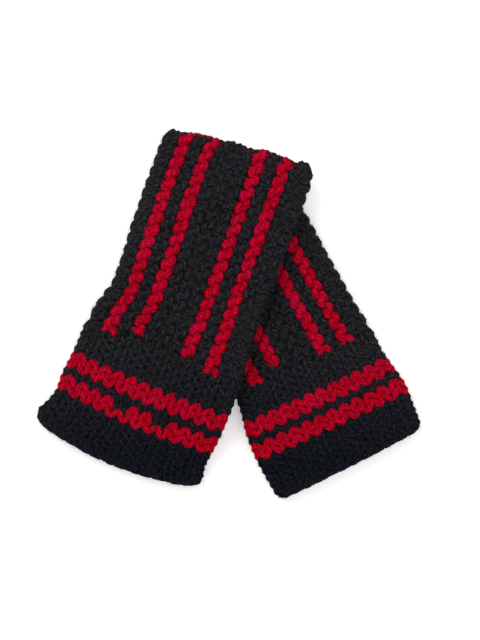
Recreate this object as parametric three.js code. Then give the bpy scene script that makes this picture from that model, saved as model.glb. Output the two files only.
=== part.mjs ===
// A pair of knitted arm warmers lying flat on a table, one crossed over the other.
// Each warmer is a tube with no seam: a body knitted sideways, and a cuff knitted on at the wrist end.
// Millimetres, +Z up. The origin is on the table, under the middle of the pair.
import * as THREE from 'three';

// Cloth
const bodyWall = 6.0;      // two layers of garter ridges in thick yarn
const cuffWall = 5.5;      // stocking stitch in the same yarn
const slit = 0.8;          // hollow left inside a tube that lies flat
const seamGap = 0.3;       // between a body and its cuff, and between the two warmers
const black = 0x22242a;
const red = 0xb4102a;

// How finely the tubes are faceted
const foldSteps = 5;       // facets round each side fold
const faceSteps = 9;       // facets across the front and across the back
const bodyStep = 8;        // length of a facet along a body
const cuffStep = 6;        // length of a facet along a cuff

// The upper warmer eases down from the lower one over this distance
const easeLength = 32;

// Each warmer has its own frame: `along` runs up the arm and `left` and `right` are the side folds.
// `hemBow` is how far the middle of the hem hangs below its corners, and `topTilt` how far the
// right end of the top edge stands above its middle.
const lowerWarmer = {
  name: 'lower',
  x: 62.75,
  y: -48.4,
  turn: 27,
  join: 28,
  hemBow: 1,
  topTilt: 4,
  profile: [
    { along: -35.5, left: -52.0, right: 30.5 },
    { along: -31.5, left: -54.0, right: 33.5 },
    { along: -14.0, left: -54.9, right: 35.3 },
    { along: -6.7, left: -54.9, right: 36.6 },
    { along: 5.6, left: -53.8, right: 35.4 },
    { along: 15.1, left: -52.0, right: 34.6 },
    { along: 28.0, left: -51.0, right: 35.3 },
    { along: 55.0, left: -50.4, right: 33.0 },
    { along: 112.0, left: -50.4, right: 31.4 },
    { along: 122.0, left: -49.8, right: 30.8 },
    { along: 126.0, left: -47.0, right: 28.0 },
  ],
};

const upperWarmer = {
  name: 'upper',
  x: -21.25,
  y: 2.0,
  turn: -22,
  join: -26.9,
  hemBow: 6,
  topTilt: 4.4,
  profile: [
    { along: -91.0, left: -50.5, right: 35.0 },
    { along: -86.5, left: -57.0, right: 40.6 },
    { along: -82.5, left: -57.8, right: 40.6 },
    { along: -76.0, left: -54.6, right: 39.8 },
    { along: -68.3, left: -52.8, right: 41.4 },
    { along: -58.8, left: -53.2, right: 42.6 },
    { along: -43.1, left: -52.2, right: 43.5 },
    { along: -26.9, left: -52.1, right: 43.1 },
    { along: -16.2, left: -51.0, right: 42.1 },
    { along: -2.8, left: -46.4, right: 40.6 },
    { along: 16.8, left: -46.8, right: 39.2 },
    { along: 56.0, left: -48.6, right: 38.4 },
    { along: 86.0, left: -49.3, right: 37.2 },
    { along: 93.0, left: -48.0, right: 36.0 },
    { along: 96.0, left: -44.5, right: 33.0 },
  ],
};

function lerp(from, to, share) {
  return from + (to - from) * share;
}

function clamp01(value) {
  return Math.min(1, Math.max(0, value));
}

// Side folds at a place along a warmer, straight between the rows of its profile.
function foldsAt(warmer, along) {
  const rows = warmer.profile;
  let index = 1;
  while (index < rows.length - 1 && rows[index].along < along) {
    index += 1;
  }
  const below = rows[index - 1];
  const above = rows[index];
  const share = clamp01((along - below.along) / (above.along - below.along));
  return { left: lerp(below.left, above.left, share), right: lerp(below.right, above.right, share) };
}

function hemOf(warmer) {
  return warmer.profile[0].along;
}

function topOf(warmer) {
  return warmer.profile[warmer.profile.length - 1].along;
}

// The hem bows and the top edge tilts; both fade out towards the join of body and cuff.
function bentAlong(warmer, across, along) {
  const folds = foldsAt(warmer, along);
  const side = (2 * across - folds.left - folds.right) / (folds.right - folds.left);
  if (along < warmer.join) {
    const share = (warmer.join - along) / (warmer.join - hemOf(warmer));
    return along - warmer.hemBow * (1 - side * side) * share;
  }
  const share = (along - warmer.join) / (topOf(warmer) - warmer.join);
  return along + warmer.topTilt * side * share;
}

// A warmer's own across and along as a place on the table, and back.
function toTable(warmer, across, along) {
  const turn = THREE.MathUtils.degToRad(warmer.turn);
  return {
    x: warmer.x + across * Math.cos(turn) - along * Math.sin(turn),
    y: warmer.y + across * Math.sin(turn) + along * Math.cos(turn),
  };
}

function fromTable(warmer, place) {
  const turn = THREE.MathUtils.degToRad(warmer.turn);
  const dx = place.x - warmer.x;
  const dy = place.y - warmer.y;
  return {
    across: dx * Math.cos(turn) + dy * Math.sin(turn),
    along: dy * Math.cos(turn) - dx * Math.sin(turn),
  };
}

// Height that the lower warmer holds the upper one at, easing to the table past its edges.
function liftAt(place) {
  const { across, along } = fromTable(lowerWarmer, place);
  const folds = foldsAt(lowerWarmer, along);
  const beside = Math.max(folds.left - across, across - folds.right, 0);
  const endReach = Math.max(lowerWarmer.topTilt, lowerWarmer.hemBow);
  const beyond = Math.max(along - topOf(lowerWarmer) - endReach, hemOf(lowerWarmer) - endReach - along, 0);
  const near = clamp01(1 - Math.hypot(beside, beyond) / easeLength);
  const fullHeight = 2 * bodyWall + slit + seamGap;
  return fullHeight * near * near * (3 - 2 * near);
}

// Closed loop of [across, height] round a tube that lies flat, `inset` in from its outer face.
function tubeLoop(folds, wall, inset) {
  const half = wall + slit / 2;
  const radius = half - inset;
  const rightCentre = folds.right - half;
  const leftCentre = folds.left + half;
  const loop = [];
  for (let i = 0; i <= foldSteps; i += 1) {
    const turn = Math.PI * (i / foldSteps - 0.5);
    loop.push([rightCentre + radius * Math.cos(turn), half + radius * Math.sin(turn)]);
  }
  for (let i = 1; i < faceSteps; i += 1) {
    loop.push([lerp(rightCentre, leftCentre, i / faceSteps), half + radius]);
  }
  for (let i = 0; i <= foldSteps; i += 1) {
    const turn = Math.PI * (i / foldSteps + 0.5);
    loop.push([leftCentre + radius * Math.cos(turn), half + radius * Math.sin(turn)]);
  }
  for (let i = 1; i < faceSteps; i += 1) {
    loop.push([lerp(leftCentre, rightCentre, i / faceSteps), half - radius]);
  }
  return loop;
}

// One closed wall: an outer tube and the slit inside it, joined by a ring at each open end.
function tubeGeometry(warmer, from, to, step, wall, rests) {
  const sections = Math.ceil((to - from) / step) + 1;
  const positions = [];
  const triangles = [];
  for (let s = 0; s < sections; s += 1) {
    const along = lerp(from, to, s / (sections - 1));
    const folds = foldsAt(warmer, along);
    for (const inset of [0, wall]) {
      for (const [across, height] of tubeLoop(folds, wall, inset)) {
        const place = toTable(warmer, across, bentAlong(warmer, across, along));
        positions.push(place.x, place.y, height + (rests ? 0 : liftAt(place)));
      }
    }
  }
  const count = tubeLoop(foldsAt(warmer, from), wall, 0).length;
  const at = (section, layer, i) => (section * 2 + layer) * count + (i % count);
  const quad = (a, b, c, d) => triangles.push(a, b, c, a, c, d);
  for (let i = 0; i < count; i += 1) {
    for (let s = 0; s < sections - 1; s += 1) {
      quad(at(s, 0, i), at(s + 1, 0, i), at(s + 1, 0, i + 1), at(s, 0, i + 1));
      quad(at(s, 1, i), at(s, 1, i + 1), at(s + 1, 1, i + 1), at(s + 1, 1, i));
    }
    const last = sections - 1;
    quad(at(0, 0, i), at(0, 0, i + 1), at(0, 1, i + 1), at(0, 1, i));
    quad(at(last, 0, i), at(last, 1, i), at(last, 1, i + 1), at(last, 0, i + 1));
  }
  const geometry = new THREE.BufferGeometry();
  geometry.setAttribute('position', new THREE.Float32BufferAttribute(positions, 3));
  geometry.setIndex(triangles);
  geometry.computeVertexNormals();
  return geometry;
}

// The body of a warmer, from the join up to the top edge.
function body(warmer, rests) {
  const from = warmer.join + seamGap / 2;
  const geometry = tubeGeometry(warmer, from, topOf(warmer), bodyStep, bodyWall, rests);
  const material = new THREE.MeshStandardMaterial({ color: black, roughness: 0.95, metalness: 0 });
  const mesh = new THREE.Mesh(geometry, material);
  mesh.name = `${warmer.name}_body`;
  return mesh;
}

// The cuff of a warmer, from the hem up to the join.
function cuff(warmer, rests) {
  const to = warmer.join - seamGap / 2;
  const geometry = tubeGeometry(warmer, hemOf(warmer), to, cuffStep, cuffWall, rests);
  const material = new THREE.MeshStandardMaterial({ color: red, roughness: 0.95, metalness: 0 });
  const mesh = new THREE.Mesh(geometry, material);
  mesh.name = `${warmer.name}_cuff`;
  return mesh;
}

const pair = new THREE.Group();
for (const warmer of [lowerWarmer, upperWarmer]) {
  const rests = warmer === lowerWarmer;
  pair.add(body(warmer, rests));
  pair.add(cuff(warmer, rests));
}

export default pair;
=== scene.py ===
import math

import bpy
import numpy as np
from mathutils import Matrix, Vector


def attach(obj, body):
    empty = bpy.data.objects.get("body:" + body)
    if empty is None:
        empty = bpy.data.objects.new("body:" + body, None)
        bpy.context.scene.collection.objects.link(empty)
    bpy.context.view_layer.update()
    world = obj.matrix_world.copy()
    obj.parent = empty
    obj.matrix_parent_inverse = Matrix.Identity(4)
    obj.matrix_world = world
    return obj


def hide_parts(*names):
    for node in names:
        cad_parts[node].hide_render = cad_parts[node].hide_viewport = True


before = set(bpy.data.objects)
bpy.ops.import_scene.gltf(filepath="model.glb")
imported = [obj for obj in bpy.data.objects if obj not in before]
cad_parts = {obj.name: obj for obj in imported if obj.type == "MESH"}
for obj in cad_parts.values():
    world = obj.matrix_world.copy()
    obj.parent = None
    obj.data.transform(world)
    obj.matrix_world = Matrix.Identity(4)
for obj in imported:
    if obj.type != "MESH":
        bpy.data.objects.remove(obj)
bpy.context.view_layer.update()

mm = 0.001
rng = np.random.default_rng(7)   # one seed, so that the knitting is the same each time

# Cloth facts shared by both warmers, in millimetres
cloth = {
    "bodyWall": 6.6,        # one layer of the garter body, yarn and all
    "cuffWall": 6.0,        # one layer of the stocking-stitch cuff
    "slit": 0.8,            # hollow inside a tube that lies flat
    "gap": 0.3,             # between the two warmers
    "ridges": 24,           # garter ridges round a body, and columns round a cuff
    "ease": 32.0,           # how far the upper warmer takes to come down to the table
    "stripes": [2, 4, 8, 10, 14, 16, 20, 22],   # red ridges, counted from the left fold
    "bands": [4, 5, 7, 8],  # red rows of a cuff, counted from the join
    "cuffRows": 14,
    "foldBlur": 6,          # rounds the corners of a profile
    "sagBlur": 20,          # and of a sag
    "profileSteps": 400,
}

# Each warmer in its own frame: along runs up the arm, and the profile lists (along, left fold, right fold).
# cut and cuffCut are the flat sizes of the body and the cuff in metres, round the tube and up the arm.
# ridgeShift and cuffShift turn the ridges and the cuff's columns round the tube, in ridges and columns.
# early says how far above the join a ridge turns red, and missed lists (row, column) left black in a band.
# ends says how far each ridge stops above or below the top, from the left fold to the right one.
# sag lists (along, left, right) for how far the rows are pushed up or down the arm.
lower = {
    "name": "lower",
    "x": 62.75, "y": -48.4, "turn": 27,
    "join": 28.0, "hemBow": 1.0, "topTilt": 4.0,
    "ridgeShift": -0.2, "cuffShift": 0.0, "stitch": 7.0,
    "cut": (0.165, 0.098), "cuffCut": (0.175, 0.0635),
    "missed": [],
    "early": {4: 4.5},
    "ends": [0.0],
    "sag": [(-35.5, 0.0, 0.0), (-13.0, 1.2, -2.8), (0.0, 1.8, -1.6), (28.0, 3.0, -0.5), (70.0, 0.0, 0.0)],
    "profile": [
        (-35.5, -54.4, 32.6), (-31.5, -56.4, 35.6), (-14.0, -57.2, 37.3), (-6.7, -57.1, 38.2),
        (5.6, -55.6, 36.2), (15.1, -52.8, 34.8), (28.0, -51.0, 35.3), (55.0, -50.4, 33.0),
        (112.0, -50.4, 31.4), (122.0, -49.8, 30.8), (126.0, -47.0, 28.0),
    ],
}
upper = {
    "name": "upper",
    "x": -21.25, "y": 2.0, "turn": -22,
    "join": -26.9, "hemBow": 6.0, "topTilt": 4.4,
    "ridgeShift": -0.3, "cuffShift": 0.5, "stitch": 7.3,
    "cut": (0.171, 0.123), "cuffCut": (0.186, 0.067),
    "missed": [(7, 4), (7, 7)],
    "early": {4: 3.0, 8: 2.0},
    "ends": [-5.4, -4.2, -1.2, -0.6, -0.8, -1.2, -3.0, -3.0, 0.4, -0.6, -1.3, -2.4, -2.8],
    "sag": [(-91.0, 0.0, 0.0), (-66.0, -1.2, -3.8), (-52.0, -0.8, -2.2), (-26.9, 0.0, 0.0), (96.0, 0.0, 0.0)],
    "profile": [
        (-91.0, -51.0, 37.0), (-86.5, -57.6, 43.0), (-82.5, -58.6, 43.0), (-76.0, -55.2, 41.6),
        (-68.3, -53.0, 42.2), (-58.8, -53.6, 43.4), (-43.1, -52.2, 43.7), (-26.9, -52.1, 43.1),
        (-16.2, -51.0, 42.1), (-2.8, -46.8, 40.6), (16.8, -47.4, 39.2), (56.0, -50.0, 38.6),
        (86.0, -51.2, 37.6), (93.0, -50.2, 36.4), (96.0, -47.0, 33.6),
    ],
}


# left and right values at a place along, between the rows of a list, with the list's corners rounded
def sidesAt(rows, along, blur):
    rows = np.array(rows)
    spots = np.linspace(rows[0, 0], rows[-1, 0], cloth["profileSteps"])
    smooth = np.hanning(2 * blur + 1) / np.hanning(2 * blur + 1).sum()
    sides = []
    for column in (1, 2):
        values = np.interp(spots, rows[:, 0], rows[:, column])
        padded = np.pad(values, blur, mode="edge")
        sides.append(np.interp(along, spots, np.convolve(padded, smooth, "valid")))
    return sides


def foldsAt(warmer, along):
    return sidesAt(warmer["profile"], along, cloth["foldBlur"])


# how far above or below the end of the tube a garter row stops
def rowEnd(warmer, turns):
    ends = warmer["ends"]
    ridge = np.mod(turns, 1.0) * cloth["ridges"] - warmer["ridgeShift"]
    front = np.minimum(ridge, cloth["ridges"] - ridge)
    return np.interp(front, np.arange(len(ends)), ends)


def hemOf(warmer):
    return warmer["profile"][0][0]


def topOf(warmer):
    return warmer["profile"][-1][0]


# a place in a warmer's own frame as a place on the table; the hem bows and the top edge tilts
def toTable(warmer, across, along):
    left, right = foldsAt(warmer, along)
    side = np.clip((2 * across - left - right) / (right - left), -1, 1)
    below = np.clip((warmer["join"] - along) / (warmer["join"] - hemOf(warmer)), 0, 1.1)
    above = np.clip((along - warmer["join"]) / (topOf(warmer) - warmer["join"]), 0, 1.1)
    sagLeft, sagRight = sidesAt(warmer["sag"], along, cloth["sagBlur"])
    bent = along - warmer["hemBow"] * (1 - side ** 2) * below + warmer["topTilt"] * side * above
    bent = bent + sagLeft * (1 - side) / 2 + sagRight * (1 + side) / 2
    turn = math.radians(warmer["turn"])
    x = warmer["x"] + across * math.cos(turn) - bent * math.sin(turn)
    y = warmer["y"] + across * math.sin(turn) + bent * math.cos(turn)
    return x, y


# how high the lower warmer holds the upper one, easing to the table past its edges
def liftAt(x, y):
    turn = math.radians(lower["turn"])
    dx = x - lower["x"]
    dy = y - lower["y"]
    across = dx * math.cos(turn) + dy * math.sin(turn)
    along = dy * math.cos(turn) - dx * math.sin(turn)
    left, right = foldsAt(lower, along)
    beside = np.maximum(np.maximum(left - across, across - right), 0)
    reach = max(lower["topTilt"], lower["hemBow"])
    beyond = np.maximum(np.maximum(along - topOf(lower) - reach, hemOf(lower) - reach - along), 0)
    near = np.clip(1 - np.hypot(beside, beyond) / cloth["ease"], 0, 1)
    full = 2 * cloth["bodyWall"] + cloth["slit"] + cloth["gap"]
    return full * near * near * (3 - 2 * near)


# places on a flat tube: turns is 0 at the left fold and 0.5 at the right fold, over the top first,
# and out is the distance from the middle of the wall
def onTube(warmer, turns, along, out, wall):
    left, right = foldsAt(warmer, along)
    half = wall + cloth["slit"] / 2
    middle = half - wall / 2
    face = right - left - 2 * half
    quarter = math.pi * middle / 2
    around = 2 * face + 4 * quarter
    q = np.mod(turns, 1.0) * around
    # the angle is pi at the left fold, half of that over the top face and 0 at the right fold
    onLeftUp = q < quarter
    onTop = (q >= quarter) & (q < quarter + face)
    onRight = (q >= quarter + face) & (q < 3 * quarter + face)
    onUnder = (q >= 3 * quarter + face) & (q < 3 * quarter + 2 * face)
    angle = np.where(onLeftUp, math.pi - q / middle, 0)
    angle = np.where(onTop, math.pi / 2, angle)
    angle = np.where(onRight, math.pi / 2 - (q - quarter - face) / middle, angle)
    angle = np.where(onUnder, -math.pi / 2, angle)
    last = q >= 3 * quarter + 2 * face
    angle = np.where(last, -math.pi / 2 - (q - 3 * quarter - 2 * face) / middle, angle)
    centre = np.where(onLeftUp | last, left + half, right - half)
    centre = np.where(onTop, left + half + q - quarter, centre)
    centre = np.where(onUnder, right - half - (q - 3 * quarter - face), centre)
    radius = middle + out
    across = centre + radius * np.cos(angle)
    z = half + radius * np.sin(angle)
    x, y = toTable(warmer, across, along)
    if warmer is upper:
        z = z + liftAt(x, y)
    return np.stack([x, y, z], axis=-1) * mm


yarn = {
    "sides": 7,
    "steps": 13,            # along one stitch
    "bodyRadius": 1.95,
    "cuffRadius": 1.9,
    "floor": 0.0,           # strands are pressed flat on the table
}


# one strand of yarn: a tube along points, closed at both ends or joined into a ring
def addTube(store, points, outward, radius, ring, startU):
    n = len(points)
    if ring:
        tangent = np.roll(points, -1, 0) - np.roll(points, 1, 0)
    else:
        tangent = np.gradient(points, axis=0)
    tangent /= np.linalg.norm(tangent, axis=1)[:, None]
    normal = outward - (outward * tangent).sum(1)[:, None] * tangent
    normal /= np.linalg.norm(normal, axis=1)[:, None]
    side = np.cross(tangent, normal)
    sides = yarn["sides"]
    turn = np.linspace(0, 2 * math.pi, sides, endpoint=False)
    rad = np.broadcast_to(radius, (n,))[:, None, None] * mm
    rings = points[:, None] + rad * (np.cos(turn)[None, :, None] * normal[:, None]
                                     + np.sin(turn)[None, :, None] * side[:, None])
    rings[..., 2] = np.maximum(rings[..., 2], yarn["floor"])
    length = np.concatenate([[0], np.cumsum(np.linalg.norm(np.diff(points, axis=0), axis=1))]) / mm
    base = store["count"]
    verts = rings.reshape(-1, 3)
    i = np.arange(n if ring else n - 1)[:, None]
    j = np.arange(sides)[None, :]
    a = i * sides + j
    b = i * sides + (j + 1) % sides
    c = ((i + 1) % n) * sides + (j + 1) % sides
    d = ((i + 1) % n) * sides + j
    quads = np.stack([a, b, c, d], -1).reshape(-1, 4) + base
    u0 = np.broadcast_to(length[:len(i), None], a.shape) + startU
    following = np.append(length, length[-1] + length[1])[1:len(i) + 1, None]
    u1 = np.broadcast_to(following, a.shape) + startU
    v0 = np.broadcast_to(j / sides, a.shape)
    v1 = np.broadcast_to((j + 1) / sides, a.shape)
    uv = np.stack([u0, v0, u0, v1, u1, v1, u1, v0], -1).reshape(-1, 4, 2)
    store["verts"].append(verts)
    store["quads"].append(quads)
    store["uv"].append(uv)
    store["count"] += len(verts)
    if not ring:
        first = np.arange(sides)[::-1] + base
        final = np.arange(sides) + base + (n - 1) * sides
        store["caps"] += [first, final]
    addFuzz(store, points, tangent, normal, side, rad[:, 0, 0], length[-1])


fuzz = {
    "density": 4.4,                          # loose fibres to a millimetre of yarn
    "length": (1.0, 3.2),
    "radius": {"black": 0.07, "red": 0.045},
    "root": 0.9,                             # how deep a fibre starts, as a share of the yarn's radius
    "spread": 2.0,                           # how far round the yarn from its outer side, in radians
    "outward": 0.5,
    "stray": 0.45,
    "clear": 0.003,                          # none lower than this over the table, in metres
    "facing": -0.5,                          # and none where the wall faces down
    "floor": 0.0003,
}


# loose fibres stand off a strand wherever it shows
def addFuzz(store, points, tangent, normal, side, radius, length):
    count = rng.poisson(length * fuzz["density"])
    pick = rng.integers(0, len(points), count)
    turn = rng.uniform(-fuzz["spread"], fuzz["spread"], count)[:, None]
    away = np.cos(turn) * normal[pick] + np.sin(turn) * side[pick]
    start = points[pick] + fuzz["root"] * radius[pick, None] * away
    lean = fuzz["outward"] * away + rng.uniform(-1, 1, count)[:, None] * tangent[pick]
    lean = lean + rng.normal(0, fuzz["stray"], (count, 3))
    lean /= np.linalg.norm(lean, axis=1)[:, None]
    shows = (start[:, 2] > fuzz["clear"]) & (normal[pick, 2] > fuzz["facing"])
    store["fuzz"].append(np.concatenate([start, lean], axis=1)[shows])


def newStore():
    return {"verts": [], "quads": [], "uv": [], "caps": [], "fuzz": [], "count": 0}


# every fibre is a closed needle with three sides
def makeFuzz(name, store, material, thick):
    fibres = np.concatenate(store["fuzz"])
    count = len(fibres)
    start, lean = fibres[:, :3], fibres[:, 3:]
    side = np.cross(lean, rng.normal(0, 1, (count, 3)))
    side /= np.linalg.norm(side, axis=1)[:, None]
    other = np.cross(lean, side)
    tip = start + rng.uniform(*fuzz["length"], count)[:, None] * mm * lean
    corners = [0, 2 * math.pi / 3, 4 * math.pi / 3]
    base = [start + thick * mm * (math.cos(a) * side + math.sin(a) * other) for a in corners]
    verts = np.stack(base + [tip], axis=1).reshape(-1, 3)
    verts[:, 2] = np.maximum(verts[:, 2], fuzz["floor"])
    pattern = [(0, 1, 3), (1, 2, 3), (2, 0, 3), (2, 1, 0)]
    tris = (np.arange(count)[:, None, None] * 4 + np.array(pattern)[None]).reshape(-1, 3)
    mesh = bpy.data.meshes.new(name)
    mesh.vertices.add(len(verts))
    mesh.vertices.foreach_set("co", verts.astype(np.float32).ravel())
    mesh.loops.add(tris.size)
    mesh.loops.foreach_set("vertex_index", tris.astype(np.int32).ravel())
    mesh.polygons.add(len(tris))
    mesh.polygons.foreach_set("loop_start", np.arange(0, tris.size, 3, dtype=np.int32))
    mesh.update(calc_edges=True)
    mesh.materials.append(material)
    piece = bpy.data.objects.new(name, mesh)
    bpy.context.collection.objects.link(piece)
    return piece


# all the strands of one colour in one mesh, with a map of how far along and round the yarn
def makeMesh(name, store, material):
    verts = np.concatenate(store["verts"])
    quads = np.concatenate(store["quads"])
    uv = np.concatenate(store["uv"])
    caps = store["caps"]
    mesh = bpy.data.meshes.new(name)
    mesh.vertices.add(len(verts))
    mesh.vertices.foreach_set("co", verts.astype(np.float32).ravel())
    sizes = [4] * len(quads) + [len(c) for c in caps]
    loops = np.concatenate([quads.ravel()] + [np.asarray(c) for c in caps])
    mesh.loops.add(len(loops))
    mesh.loops.foreach_set("vertex_index", loops.astype(np.int32))
    mesh.polygons.add(len(sizes))
    starts = np.concatenate([[0], np.cumsum(sizes)[:-1]])
    mesh.polygons.foreach_set("loop_start", starts.astype(np.int32))
    mesh.polygons.foreach_set("use_smooth", np.ones(len(sizes), bool))
    layer = mesh.uv_layers.new(name="yarnMap")
    flat = np.zeros((len(loops), 2))
    flat[:len(quads) * 4] = uv.reshape(-1, 2)
    layer.uv.foreach_set("vector", flat.astype(np.float32).ravel())
    mesh.update(calc_edges=True)
    mesh.validate()
    mesh.materials.append(material)
    piece = bpy.data.objects.new(name, mesh)
    bpy.context.collection.objects.link(piece)
    return piece


# a strand laid on a warmer's tube
def strand(store, warmer, turns, along, out, wall, radius, ring=False):
    points = onTube(warmer, turns, along, out, wall)
    above = onTube(warmer, turns, along, out + 0.5, wall)
    outward = above - points
    outward /= np.linalg.norm(outward, axis=1)[:, None]
    addTube(store, points, outward, radius, ring, rng.uniform(0, 40))


# a smooth uneven run of values, so that no two stitches are quite alike
def wander(count, amount, reach):
    raw = rng.normal(0, 1, count + 2 * reach)
    kernel = np.hanning(2 * reach + 1)
    return np.convolve(raw, kernel / np.sqrt((kernel ** 2).sum()), "valid")[:count] * amount


class Socket:
    def __init__(self, graph, link):
        self.graph = graph
        self.link = link

    def maths(self, kind, a, b):
        return self.graph.add("ShaderNodeMath", {"operation": kind}, {0: a, 1: b})

    def __add__(self, other):
        return self.maths("ADD", self, other)

    def __radd__(self, other):
        return self.maths("ADD", other, self)

    def __mul__(self, other):
        return self.maths("MULTIPLY", self, other)

    def __rmul__(self, other):
        return self.maths("MULTIPLY", other, self)

    def sin(self):
        return self.maths("SINE", self, 0.0)


class Graph:
    def __init__(self, material):
        self.tree = material.node_tree
        self.shader = next(n for n in self.tree.nodes if n.type == "BSDF_PRINCIPLED")

    def add(self, kind, settings, values, output=0):
        node = self.tree.nodes.new(kind)
        for key, value in settings.items():
            setattr(node, key, value)
        for key, value in values.items():
            self.put(node.inputs[key], value)
        return Socket(self, node.outputs[output])

    def put(self, target, value):
        if isinstance(value, Socket):
            self.tree.links.new(value.link, target)
        else:
            target.default_value = value

    def mix(self, share, a, b):
        return self.add("ShaderNodeMix", {"data_type": "RGBA"}, {0: share, 6: a, 7: b}, 2)

    def tint(self, tone, colour):
        kind = {"data_type": "RGBA", "blend_type": "MULTIPLY"}
        return self.add("ShaderNodeMix", kind, {0: 1.0, 6: tone, 7: (*colour, 1)}, 2)

    def noise(self, vector, scale, detail):
        return self.add("ShaderNodeTexNoise", {}, {"Vector": vector, "Scale": scale, "Detail": detail})

    # 0 at low and 1 at high, held at both ends
    def ramp(self, value, low, high):
        return self.add("ShaderNodeMapRange", {}, {0: value, 1: low, 2: high})

    def split(self, vector):
        first = self.add("ShaderNodeSeparateXYZ", {}, {0: vector})
        return first, Socket(self, first.link.node.outputs[1])

    def objectPlace(self):
        return self.add("ShaderNodeTexCoord", {}, {}, 3)


wool = {
    "roughness": 0.9,
    "fuzzRoughness": 0.8,
    "shine": 0.04,
    "cloud": (90.0, 2.0),        # scale and detail of the uneven dye
    "fine": (900.0, 3.0),        # of the grain
    "fibre": (3.0, 3.0),         # of the fibres along the yarn
    "fuzz": (400.0, 2.0),        # of the tone of the loose fibres
    "fineShare": 0.55,
    "grain": (0.43, 0.59),       # where the grain goes from deep to lit
    "dusty": (0.42, 0.66),       # where the dye looks dusty
    "plyGrooveShade": (-1.0, 0.2),       # where the plies meet and painted shade darkens the groove
    "hemward": (-0.02, -0.08),   # where each wool's tone is multiplied by its darker hemTint towards the hems, in metres
    "bump": 0.8,
    "bumpDepth": 0.0006,
}


def newMaterial(name, roughness):
    material = bpy.data.materials.new(name)
    material.use_nodes = True
    graph = Graph(material)
    graph.shader.inputs["Roughness"].default_value = roughness
    graph.shader.inputs["Specular IOR Level"].default_value = wool["shine"]
    return material, graph


# plied wool: slanting plies round the strand with painted shade in the grooves between them, fine fibres
# along them, cloudy dye
def woolMaterial(name, look):
    material, graph = newMaterial(name, wool["roughness"])
    onYarn = graph.add("ShaderNodeUVMap", {"uv_map": "yarnMap"}, {})
    run, roundShare = graph.split(onYarn)   # millimetres along the strand, and share of a turn round it
    here = graph.objectPlace()
    cloud = graph.noise(here, *wool["cloud"])
    fine = graph.noise(here, *wool["fine"])
    plies = (roundShare * (2 * math.pi * look["plies"]) + run * look["twist"] + cloud * 3.0).sin()
    along = graph.add("ShaderNodeCombineXYZ", {}, {0: run * 0.5, 1: roundShare * 14.0 + run * 1.6})
    fibres = graph.noise(along, *wool["fibre"])
    grain = fibres * (1 - wool["fineShare"]) + fine * wool["fineShare"]
    tone = graph.mix(graph.ramp(grain, *wool["grain"]), (*look["deep"], 1), (*look["lit"], 1))
    dull = graph.ramp(cloud, *wool["dusty"])
    tone = graph.mix(dull * 0.5, tone, (*look["dusty"], 1))
    # painted shade: the tone is pulled 55 % of the way to deep in the grooves between the plies
    plyGrooveShade = graph.ramp(plies, *wool["plyGrooveShade"])
    tone = graph.mix(plyGrooveShade, graph.mix(0.55, tone, (*look["deep"], 1)), tone)
    hemward = graph.ramp(graph.split(here)[1], *wool["hemward"])
    tone = graph.mix(hemward, tone, graph.tint(tone, look["hemTint"]))
    graph.put(graph.shader.inputs["Base Color"], tone)
    height = plies * 0.35 + fibres * 0.5 + fine * 0.4
    relief = {"Strength": wool["bump"], "Distance": wool["bumpDepth"], "Height": height}
    graph.put(graph.shader.inputs["Normal"], graph.add("ShaderNodeBump", {}, relief))
    return material


blackWool = woolMaterial("blackWool", {
    "deep": (0.002, 0.002, 0.004), "lit": (0.036, 0.036, 0.040), "dusty": (0.020, 0.019, 0.022),
    "plies": 3, "twist": 1.5, "hemTint": (0.38, 0.45, 0.66),
})
redWool = woolMaterial("redWool", {
    "deep": (0.15, 0.0, 0.008), "lit": (0.74, 0.0, 0.022), "dusty": (0.46, 0.004, 0.036),
    "plies": 3, "twist": 1.5, "hemTint": (1.0, 0.3, 0.7),
})
# painted shade: the inner wall is darker than the black yarn, for the gaps between the loops
paintedShadeCore = woolMaterial("paintedShadeCore", {
    "deep": (0.002, 0.002, 0.003), "lit": (0.010, 0.010, 0.013), "dusty": (0.008, 0.008, 0.011),
    "plies": 3, "twist": 1.5, "hemTint": (0.5, 0.6, 0.8),
})


# a loose fibre is too thin for a pattern along it, so its tone only drifts from place to place
def fuzzMaterial(name, deep, lit):
    material, graph = newMaterial(name, wool["fuzzRoughness"])
    drift = graph.ramp(graph.noise(graph.objectPlace(), *wool["fuzz"]), 0.35, 0.65)
    graph.put(graph.shader.inputs["Base Color"], graph.mix(drift, (*deep, 1), (*lit, 1)))
    return material


blackFuzz = fuzzMaterial("blackFuzz", (0.006, 0.006, 0.009), (0.048, 0.048, 0.054))
redFuzz = fuzzMaterial("redFuzz", (0.30, 0.001, 0.012), (0.75, 0.004, 0.03))
print("materials made")


def finished(name, blackStore, redStore):
    return (
        makeMesh(name + "BlackYarn", blackStore, blackWool),
        makeMesh(name + "RedYarn", redStore, redWool),
        makeFuzz(name + "BlackFuzz", blackStore, blackFuzz, fuzz["radius"]["black"]),
        makeFuzz(name + "RedFuzz", redStore, redFuzz, fuzz["radius"]["red"]),
    )


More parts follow.
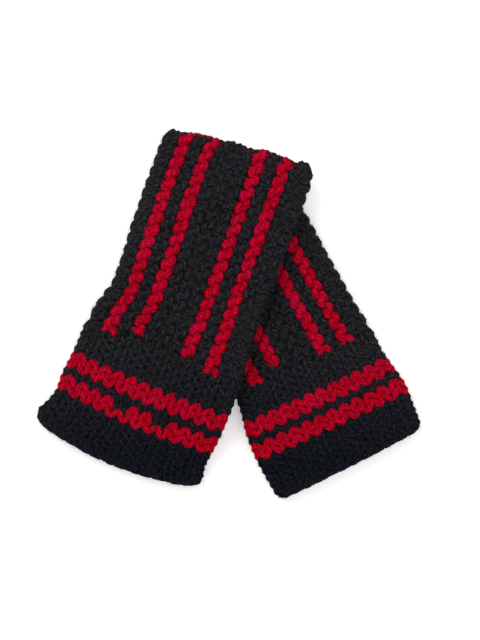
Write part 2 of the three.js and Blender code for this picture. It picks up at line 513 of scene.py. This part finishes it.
garter = {
    "lean": 0.12,            # how far a loop's head overhangs its legs, in stitches
    "slant": -0.05,          # how far the front of a loop lies ahead of its back, in stitches
    "reach": 3.4,            # half of a loop's height
    "backReach": 0.8,        # the same behind, as a share
    "redBackReach": 0.6,
    "redDepth": 1.25,        # half of a loop's swing from back to front
    "blackDepth": 0.9,       # the black wool is fluffier and its loops lie flatter
    "flat": 0.65,            # the smaller, the flatter the top of a loop
    "sink": 1.6,             # how fast a loop's legs go to the back
    "tilt": 0.6,             # the front of a loop leans over by this much
    "groove": 0.35,          # one side of a loop's front lies deeper than the other
    "foldFlat": 0.8,         # loops stretched over a side fold sink less
    "foldTurns": 9.0,        # what the two folds take from twice the width
    "topGap": 2,             # from the last loop to the end of its row
    "thin": 0.84,            # thickness of the yarn behind, as a share, and what it gains in front
    "redSwell": 0.34,
    "blackSwell": 0.22,
    "uneven": 0.2,
    "unevenDepth": 0.12,
    "unevenYarn": 0.04,      # as a share of its thickness
    "drift": (9, 12, 15),    # steps that the unevenness of place, depth and thickness runs over
}

# the join end forks where the cuff's stitches come out of the ridge
fork = {
    "steps": 6,
    "covers": 4,             # steps of the row that the fork stands in for
    "length": 2.8,
    "above": 1.0,            # from the join to where it starts
    "spread": 1.4,
    "loopShare": 0.4,        # of the first loop's height
    "redOut": 0.6,
    "blackOut": -0.6,
    "dive": 4.8,             # into the cuff, past diveFrom
    "diveFrom": 0.55,
    "noDelay": -9,           # a stripe not in early is red from its very end
}

# and the top end dives into the edge
topEnd = {
    "steps": 4,
    "length": 2.2,
    "drop": 1.2,
}


# rows run up the arm; an even row's heads and the next row's feet make one ridge
def garterRow(warmer, row, blackStore, redStore):
    ridge = row // 2
    red = ridge in cloth["stripes"]
    depth = garter["redDepth"] if red else garter["blackDepth"]
    backReach = garter["redBackReach"] if red else garter["backReach"]
    pitch = 1 / (2 * cloth["ridges"])
    rowAt = (row - 0.5 + 2 * warmer["ridgeShift"]) * pitch
    start = warmer["join"]
    end = topOf(warmer) + rowEnd(warmer, rowAt)
    stitches = int(round((topOf(warmer) - start - garter["topGap"]) / warmer["stitch"]))
    width = (end - start - garter["topGap"]) / stitches
    t = np.linspace(0, 2 * math.pi * stitches, yarn["steps"] * stitches + 1)
    knit = 1 if row % 2 == 0 else -1
    swing = np.cos(t)
    front = knit * swing
    along = start + width * t / (2 * math.pi) + garter["lean"] * width * np.sin(2 * t)
    along += garter["slant"] * width * swing
    rise = garter["reach"] * np.sign(swing) * np.abs(swing) ** garter["flat"]
    rise *= np.where(front > 0, 1.0, backReach)
    rise += garter["tilt"] * knit * np.sin(t)
    fromFold = cloth["ridges"] * min(abs(rowAt - fold) for fold in (0, 0.5, 1))
    stretched = 1 - garter["foldFlat"] * math.exp(-fromFold ** 2)
    out = depth * (1 - 2 * stretched * (1 - ((front + 1) / 2) ** garter["sink"]))
    out -= stretched * garter["groove"] * np.sin(t)
    placeDrift, depthDrift, yarnDrift = garter["drift"]
    along += wander(len(t), garter["uneven"], placeDrift)
    rise += wander(len(t), garter["uneven"], placeDrift)
    out += wander(len(t), garter["unevenDepth"], depthDrift)
    swell = garter["redSwell"] if red else garter["blackSwell"]
    radius = yarn["bodyRadius"] * (garter["thin"] + swell * (front + 1) / 2)
    tail = np.linspace(1, 0, fork["steps"], endpoint=False)
    forkAlong = start - fork["length"] * tail + fork["above"]
    forkRise = rise[0] * (1 - tail) * fork["loopShare"] - knit * fork["spread"] * tail
    forkOut = fork["redOut"] if red else fork["blackOut"]
    forkOut = forkOut - fork["dive"] * np.clip(tail - fork["diveFrom"], 0, 1)
    tip = np.linspace(0, 1, topEnd["steps"] + 1)[1:]
    tipAlong = along[-1] + topEnd["length"] * np.sin(tip * math.pi / 2)
    tipRise = rise[-1] - knit * topEnd["drop"] * tip
    tipOut = out[-1] * (1 - tip) - topEnd["drop"] * tip
    first = fork["covers"]
    forkRadius = np.full(fork["steps"], radius[first])
    tipRadius = np.full(topEnd["steps"], radius[-1])
    along = np.concatenate([forkAlong, along[first:], tipAlong])
    rise = np.concatenate([forkRise, rise[first:], tipRise])
    out = np.concatenate([forkOut, out[first:], tipOut])
    radius = np.concatenate([forkRadius, radius[first:], tipRadius])
    radius = radius * (1 + wander(len(along), garter["unevenYarn"], yarnDrift))
    left, right = foldsAt(warmer, along)
    turns = rowAt + rise / (2 * (right - left) - garter["foldTurns"])
    wall = cloth["bodyWall"]
    if not red:
        strand(blackStore, warmer, turns, along, out, wall, radius)
        return
    # some stripes start a little above the join, after black
    redFrom = start + warmer["early"].get(ridge, fork["noDelay"])
    change = int(np.searchsorted(np.maximum.accumulate(along), redFrom))
    if change > 1:
        below = slice(0, change + 1)
        strand(blackStore, warmer, turns[below], along[below], out[below], wall, radius[below])
    above = slice(change, None)
    strand(redStore, warmer, turns[above], along[above], out[above], wall, radius[above])


edgeTurn = {
    "steps": 9,
    "start": 0.30,        # from one ridge towards the next, in ridges
    "reach": 0.40,
    "above": 0.4,
    "height": 1.9,
    "feet": 2.6,          # how far its two feet go down
    "out": 0.6,
    "roll": 0.9,          # how far its middle rolls inwards
    "thick": 0.95,
}

edgeStrand = {
    "steps": 12,          # to a ridge
    "below": 0.4,
    "wave": 0.5,
    "out": -1.1,
    "radius": 1.5,
}

redFloat = {
    "steps": 9,           # to a ridge
    "inset": 0.1,         # from the middle of its stripe, in ridges
    "short": 0.9,         # a short float lies over the edge
    "long": -1.2,         # and a long one sinks behind it
    "above": 0.2,
    "rise": 0.5,
    "out": -0.2,
    "lift": 0.4,
    "uneven": 0.15,
    "drift": 5,
    "radius": 0.7,
}


# turns of yarn where the rows end, and the red floats carried from stripe to stripe
def topEdge(warmer, blackStore, redStore):
    end = topOf(warmer)
    wall = cloth["bodyWall"]
    ridges = cloth["ridges"]
    stripes = cloth["stripes"]
    for k in range(ridges):
        if k in stripes or (k + 1) % ridges in stripes:
            continue
        t = np.linspace(0, 1, edgeTurn["steps"])
        arch = np.sin(math.pi * t)
        turns = (k + warmer["ridgeShift"] + edgeTurn["start"] + edgeTurn["reach"] * t) / ridges
        along = end + edgeTurn["above"] + edgeTurn["height"] * arch + rowEnd(warmer, turns)
        along -= edgeTurn["feet"] * np.abs(2 * t - 1) ** 3
        out = edgeTurn["out"] - edgeTurn["roll"] * arch
        strand(blackStore, warmer, turns, along, out, wall, yarn["bodyRadius"] * edgeTurn["thick"])
    turns = np.linspace(0, 1, edgeStrand["steps"] * ridges, endpoint=False)
    wave = edgeStrand["wave"] * np.sin(2 * math.pi * turns * ridges)
    along = end - edgeStrand["below"] + wave + rowEnd(warmer, turns)
    strand(blackStore, warmer, turns, along, edgeStrand["out"] + wave, wall, edgeStrand["radius"], ring=True)
    for a, b in zip(stripes, stripes[1:] + [stripes[0] + ridges]):
        t = np.linspace(0, 1, redFloat["steps"] * (b - a))
        inset = redFloat["inset"]
        turns = (a + inset + warmer["ridgeShift"] + (b - a - 2 * inset) * t) / ridges
        sink = np.sin(math.pi * t) * (redFloat["short"] if b - a == 2 else redFloat["long"])
        along = end + redFloat["above"] + redFloat["rise"] * sink + rowEnd(warmer, turns)
        out = redFloat["out"] + redFloat["lift"] * sink
        out += wander(len(t), redFloat["uneven"], redFloat["drift"])
        strand(redStore, warmer, turns, along, out, wall, redFloat["radius"])


def makeBody(warmer):
    blackStore = newStore()
    redStore = newStore()
    for row in range(2 * cloth["ridges"]):
        garterRow(warmer, row, blackStore, redStore)
    topEdge(warmer, blackStore, redStore)
    return finished(warmer["name"] + "Body", blackStore, redStore)


# one stitch from the middle of a foot to the middle of the head:
# across in stitches, down the arm in rows, out in millimetres
stitchPath = [
    (-0.50, -0.62, -1.15), (-0.27, -0.52, -0.55), (-0.105, -0.17, 0.55), (-0.235, 0.27, 1.05),
    (-0.40, 0.72, 0.50), (-0.29, 1.06, -0.70), (0.0, 1.17, -1.15),
]


# the whole stitch as a closed smooth run, from its half and the mirror of it
def smoothStitch(steps):
    half = np.array(stitchPath)
    other = half[-2:0:-1] * [-1, 1, 1]
    keys = np.concatenate([half, other])
    count = len(keys)
    t = np.linspace(0, count, steps, endpoint=False)
    i = np.floor(t).astype(int)
    f = (t - i)[:, None]
    pick = []
    for k in (-1, 0, 1, 2):
        shift = np.floor_divide(i + k, count)[:, None] * np.array([1.0, 0, 0])
        pick.append(keys[(i + k) % count] + shift)
    a, b, c, d = pick
    return b + 0.5 * f * (c - a + f * (2 * a - 5 * b + 4 * c - d + f * (3 * (b - c) + d - a)))


stocking = {
    "steps": 15,              # along one stitch
    "unevenAcross": 0.022,    # in stitches
    "unevenDown": 0.035,      # in rows
    "drift": 9,
    "firstRow": 0.35,         # from the join, in rows
    "thin": 0.84,             # thickness of the yarn behind, as a share, and what it gains in front
    "swell": 0.18,
    "hemRoom": 3.5,           # left for the cast-off edge
}


def cuffRow(warmer, row, blackStore, redStore, pitch):
    columns = cloth["ridges"]
    one = smoothStitch(stocking["steps"])
    steps = len(one)
    count = columns * steps
    # the unevenness fades out where the round closes
    fromEnd = np.minimum(np.arange(count), count - 1 - np.arange(count))
    fade = np.clip(fromEnd / steps, 0, 1)
    across = (one[None, :, 0] + np.arange(columns)[:, None]).ravel()
    across = across + fade * wander(count, stocking["unevenAcross"], stocking["drift"])
    down = np.tile(one[:, 1], columns)
    down = down + fade * wander(count, stocking["unevenDown"], stocking["drift"])
    out = np.tile(one[:, 2], columns)
    turns = (across + 0.5 + warmer["ridgeShift"] + warmer["cuffShift"]) / columns
    along = warmer["join"] - (row + stocking["firstRow"] + down) * pitch
    radius = yarn["cuffRadius"] * (stocking["thin"] + stocking["swell"] * np.clip(out, 0, 1))
    store = redStore if row in cloth["bands"] else blackStore
    missing = [c for r, c in warmer["missed"] if r == row]
    if not missing:
        strand(store, warmer, turns, along, out, cloth["cuffWall"], radius, ring=True)
        return
    # a missed stitch was knitted in black, so the row is cut into lengths at its two sides
    cuts = sorted({0, columns} | set(missing) | {c + 1 for c in missing})
    for first, last in zip(cuts, cuts[1:]):
        part = slice(first * steps, min(last * steps + 1, count))
        wool = blackStore if first in missing else store
        strand(wool, warmer, turns[part], along[part], out[part], cloth["cuffWall"], radius[part])


def makeCuff(warmer):
    blackStore = newStore()
    redStore = newStore()
    pitch = (warmer["join"] - hemOf(warmer) - stocking["hemRoom"]) / cloth["cuffRows"]
    for row in range(cloth["cuffRows"]):
        cuffRow(warmer, row, blackStore, redStore, pitch)
    hem(warmer, blackStore)
    return finished(warmer["name"] + "Cuff", blackStore, redStore)


castOff = {
    "steps": 10,        # to a column
    "above": 2.9,       # from the hem to the middle of the chain
    "sway": 1.1,
    "out": -0.1,
    "depth": 1.2,
    "radius": 1.55,
}


# the cast-off edge: two strands twisted into a chain round the hem
def hem(warmer, store):
    columns = cloth["ridges"]
    turns = np.linspace(0, 1, columns * castOff["steps"], endpoint=False)
    for half in (0, math.pi):
        phase = 2 * math.pi * columns * turns + half
        along = hemOf(warmer) + castOff["above"] + castOff["sway"] * np.cos(phase)
        out = castOff["out"] + castOff["depth"] * np.sin(phase)
        strand(store, warmer, turns, along, out, cloth["cuffWall"], castOff["radius"], ring=True)


core = {
    "rounds": 72,              # facets round the tube
    "length": 4,               # of a facet up the arm
    "fewest": 8,
    "faces": (0.35, -0.9),     # outer and inner, from the middle of the tube's wall
    "joinGap": 0.5,
    "endGap": 1.5,
    "mapScale": 0.7,
}


def levelEnd(warmer, turns):
    return 0.0


# the closed cloth that the loops stand on: a thin wall right round the tube, darker than the black yarn as
# painted shade where it shows between the loops
def coreShell(name, warmer, low, high, wall, ends):
    sections = max(core["fewest"], int((high - low) / core["length"]))
    rounds = core["rounds"]
    verts = []
    for s in range(sections + 1):
        turns = np.arange(rounds) / rounds
        along = low + (high - low) * s / sections + s / sections * ends(warmer, turns)
        for out in core["faces"]:
            verts.append(onTube(warmer, turns, along, out, wall))
    verts = np.concatenate(verts)
    faces = []
    for i in range(rounds):
        j = (i + 1) % rounds
        for s in range(sections):
            a, b = 2 * s * rounds, 2 * (s + 1) * rounds
            faces.append((a + i, a + j, b + j, b + i))
            faces.append((a + rounds + i, b + rounds + i, b + rounds + j, a + rounds + j))
        e = 2 * sections * rounds
        faces.append((i, rounds + i, rounds + j, j))
        faces.append((e + i, e + j, e + rounds + j, e + rounds + i))
    mesh = bpy.data.meshes.new(name)
    mesh.from_pydata([tuple(v) for v in verts], [], faces)
    mesh.polygons.foreach_set("use_smooth", np.ones(len(mesh.polygons), bool))
    layer = mesh.uv_layers.new(name="yarnMap")
    spots = np.empty(len(mesh.loops), np.int32)
    mesh.loops.foreach_get("vertex_index", spots)
    flat = verts[spots][:, :2] / mm * core["mapScale"]
    layer.uv.foreach_set("vector", flat.astype(np.float32).ravel())
    mesh.update()
    piece = bpy.data.objects.new(name, mesh)
    bpy.context.collection.objects.link(piece)
    mesh.materials.append(paintedShadeCore)
    return piece


for warmer in (lower, upper):
    name = warmer["name"]
    bodyYarn = makeBody(warmer)
    cuffYarn = makeCuff(warmer)
    low, high = warmer["join"] + core["joinGap"], topOf(warmer) - core["endGap"]
    bodyCore = coreShell(name + "BodyCloth", warmer, low, high, cloth["bodyWall"], rowEnd)
    low, high = hemOf(warmer) + core["endGap"], warmer["join"] - core["joinGap"]
    cuffCore = coreShell(name + "CuffCloth", warmer, low, high, cloth["cuffWall"], levelEnd)
    for piece in (*bodyYarn, *cuffYarn, bodyCore, cuffCore):
        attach(piece, "root")
    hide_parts(name + "_body")
    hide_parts(name + "_cuff")
    for piece in (*bodyYarn, *cuffYarn):
        print(piece.name, sum(len(f.vertices) - 2 for f in piece.data.polygons), "triangles")
print("knitting made")


stage = {
    "tableSize": 6.0,
    "tableTop": -0.0002,
    "paper": (0.9, 0.9, 0.9, 1),
    "paperRoughness": 0.9,
    "glow": (1, 1, 1, 1),
    "glowStrength": 0.3,
    "room": (1, 1, 1, 1),
    "roomStrength": 0.8,
    "cameraHeight": 2.0,
    "seen": 0.3608,              # metres of table from the top to the bottom of the view
    "aim": (0.0073, -0.0036),
    "sensor": 36,
    "farthest": 20,
}

bpy.ops.object.select_all(action="DESELECT")
bpy.ops.mesh.primitive_plane_add(size=stage["tableSize"], location=(0, 0, stage["tableTop"]))
table = bpy.context.object
table.name = "table"
paper, paperGraph = newMaterial("paper", stage["paperRoughness"])
paperGraph.shader.inputs["Base Color"].default_value = stage["paper"]
paperGraph.shader.inputs["Emission Color"].default_value = stage["glow"]
paperGraph.shader.inputs["Emission Strength"].default_value = stage["glowStrength"]
table.data.materials.append(paper)

world = bpy.data.worlds.new("softRoom")
world.use_nodes = True
background = world.node_tree.nodes["Background"]
background.inputs["Color"].default_value = stage["room"]
background.inputs["Strength"].default_value = stage["roomStrength"]
bpy.context.scene.world = world


def softLight(name, place, size, power):
    bpy.ops.object.light_add(type="AREA", location=place)
    lamp = bpy.context.object
    lamp.name = name
    lamp.data.energy = power
    lamp.data.size = size
    lamp.rotation_euler = (-Vector(place)).to_track_quat("-Z", "Y").to_euler()


softLight("windowLight", (-0.5, 0.7, 1.1), 0.8, 8)
softLight("roomLight", (0.6, -0.4, 1.3), 1.2, 4)

bpy.ops.object.camera_add(location=(*stage["aim"], stage["cameraHeight"]), rotation=(0, 0, 0))
camera = bpy.context.object
camera.data.sensor_width = stage["sensor"]
camera.data.lens = stage["sensor"] * stage["cameraHeight"] / stage["seen"]
camera.data.clip_end = stage["farthest"]
bpy.context.scene.camera = camera
bpy.context.scene.view_settings.view_transform = "Standard"
print("table, light and camera set")
